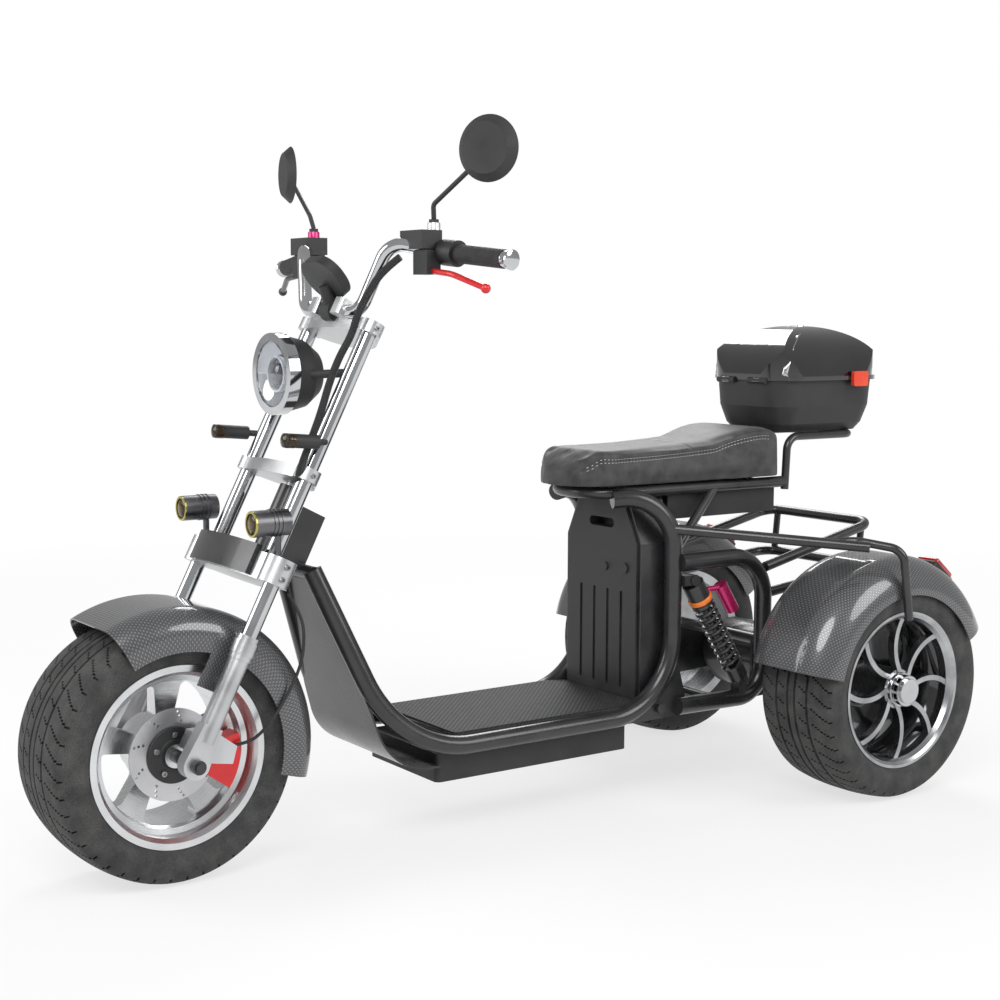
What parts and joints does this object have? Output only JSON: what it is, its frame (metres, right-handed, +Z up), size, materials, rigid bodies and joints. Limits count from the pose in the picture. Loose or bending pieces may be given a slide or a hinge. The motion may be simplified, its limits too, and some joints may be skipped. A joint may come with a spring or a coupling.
{
  "type": "three-wheeled electric scooter",
  "caption": "Open electric scooter on wide tyres with a raked fork, flat footboard, bench seat and a hinged top box behind it.",
  "frame": {"origin": "on the ground, under the middle of the bounding box", "axes": "+Z up, -Y forwards, +X to the rider's left"},
  "size_m": [0.9666, 2.008, 1.377],
  "materials": {
    "tyre": "matt",
    "silver_rim": "polished",
    "machined_rim": "machined",
    "disc_steel": "brushed",
    "chrome": "polished",
    "slider": "satin",
    "frame_black": "satin",
    "carbon_weave": "gloss woven",
    "black_plastic": "matt",
    "gloss_black": "gloss",
    "seat_leather": "satin",
    "black_rubber": "matt",
    "red_anodised": "satin",
    "magenta_anodised": "satin",
    "lamp_glass": "clear",
    "gunmetal": "satin",
    "spring_black": "gloss",
    "lamp_red": "gloss",
    "latch_red": "satin"
  },
  "bodies": {
    "chassis": {"main_frame": "frame_black", "leg_shield": "frame_black", "footboard": "frame_black", "footboard_mat": "black_rubber", "controller_box": "black_plastic", "battery_pack": "black_plastic", "battery_housing": "frame_black", "seat_frame": "frame_black", "seat_cushion": "seat_leather", "underseat_box": "black_plastic", "top_box": "black_plastic", "rear_subframe": "frame_black", "axle_housing": "frame_black", "rear_rack": "frame_black", "fender_stays": "frame_black", "rear_left_fender": "carbon_weave", "rear_right_fender": "carbon_weave", "shocks": "frame_black", "shock_springs": "spring_black", "shock_reservoirs": "magenta_anodised", "tail_lamps": "lamp_red"},
    "steering": {"fork_legs": "slider", "fork_tubes": "chrome", "front_axle": "frame_black", "lower_clamp": "slider", "clamp_panel": "frame_black", "steering_clamps": "slider", "handlebar": "chrome", "front_fender": "carbon_weave", "front_caliper": "red_anodised", "headlight_bucket": "black_plastic", "headlight_bezel": "chrome", "headlight_lens": "lamp_glass", "fog_lamps": "gunmetal", "indicators": "black_plastic", "grips": "black_rubber", "bar_controls": "black_plastic", "lever_left": "red_anodised", "lever_right": "frame_black", "mirrors": "gloss_black", "display": "black_plastic"},
    "front_wheel": {"front_rim": "silver_rim", "front_tyre": "tyre", "front_disc": "disc_steel"},
    "rear_left_wheel": {"rear_left_rim": "machined_rim", "rear_left_tyre": "tyre"},
    "rear_right_wheel": {"rear_right_rim": "machined_rim", "rear_right_tyre": "tyre"},
    "box_lid": {"top_box_lid": "gloss_black", "lid_latch": "latch_red"}
  },
  "joints": [
    {"name": "steering_turn", "type": "hinge", "parent": "chassis", "child": "steering", "pos_m": [0, -0.72858, 0.21893], "axis": [0, 0.454, 0.891], "range_deg": [-35, 35]},
    {"name": "front_wheel_spin", "type": "hinge", "parent": "steering", "child": "front_wheel", "pos_m": [0, -0.766, 0.238], "axis": [1, 0, 0], "continuous": true},
    {"name": "rear_left_wheel_spin", "type": "hinge", "parent": "chassis", "child": "rear_left_wheel", "pos_m": [0.35, 0.734, 0.238], "axis": [1, 0, 0], "continuous": true},
    {"name": "rear_right_wheel_spin", "type": "hinge", "parent": "chassis", "child": "rear_right_wheel", "pos_m": [-0.35, 0.734, 0.238], "axis": [1, 0, 0], "continuous": true},
    {"name": "box_lid_hinge", "type": "hinge", "parent": "chassis", "child": "box_lid", "pos_m": [0, 0.668, 0.882], "axis": [1, 0, 0], "range_deg": [0, 80]}
  ]
}
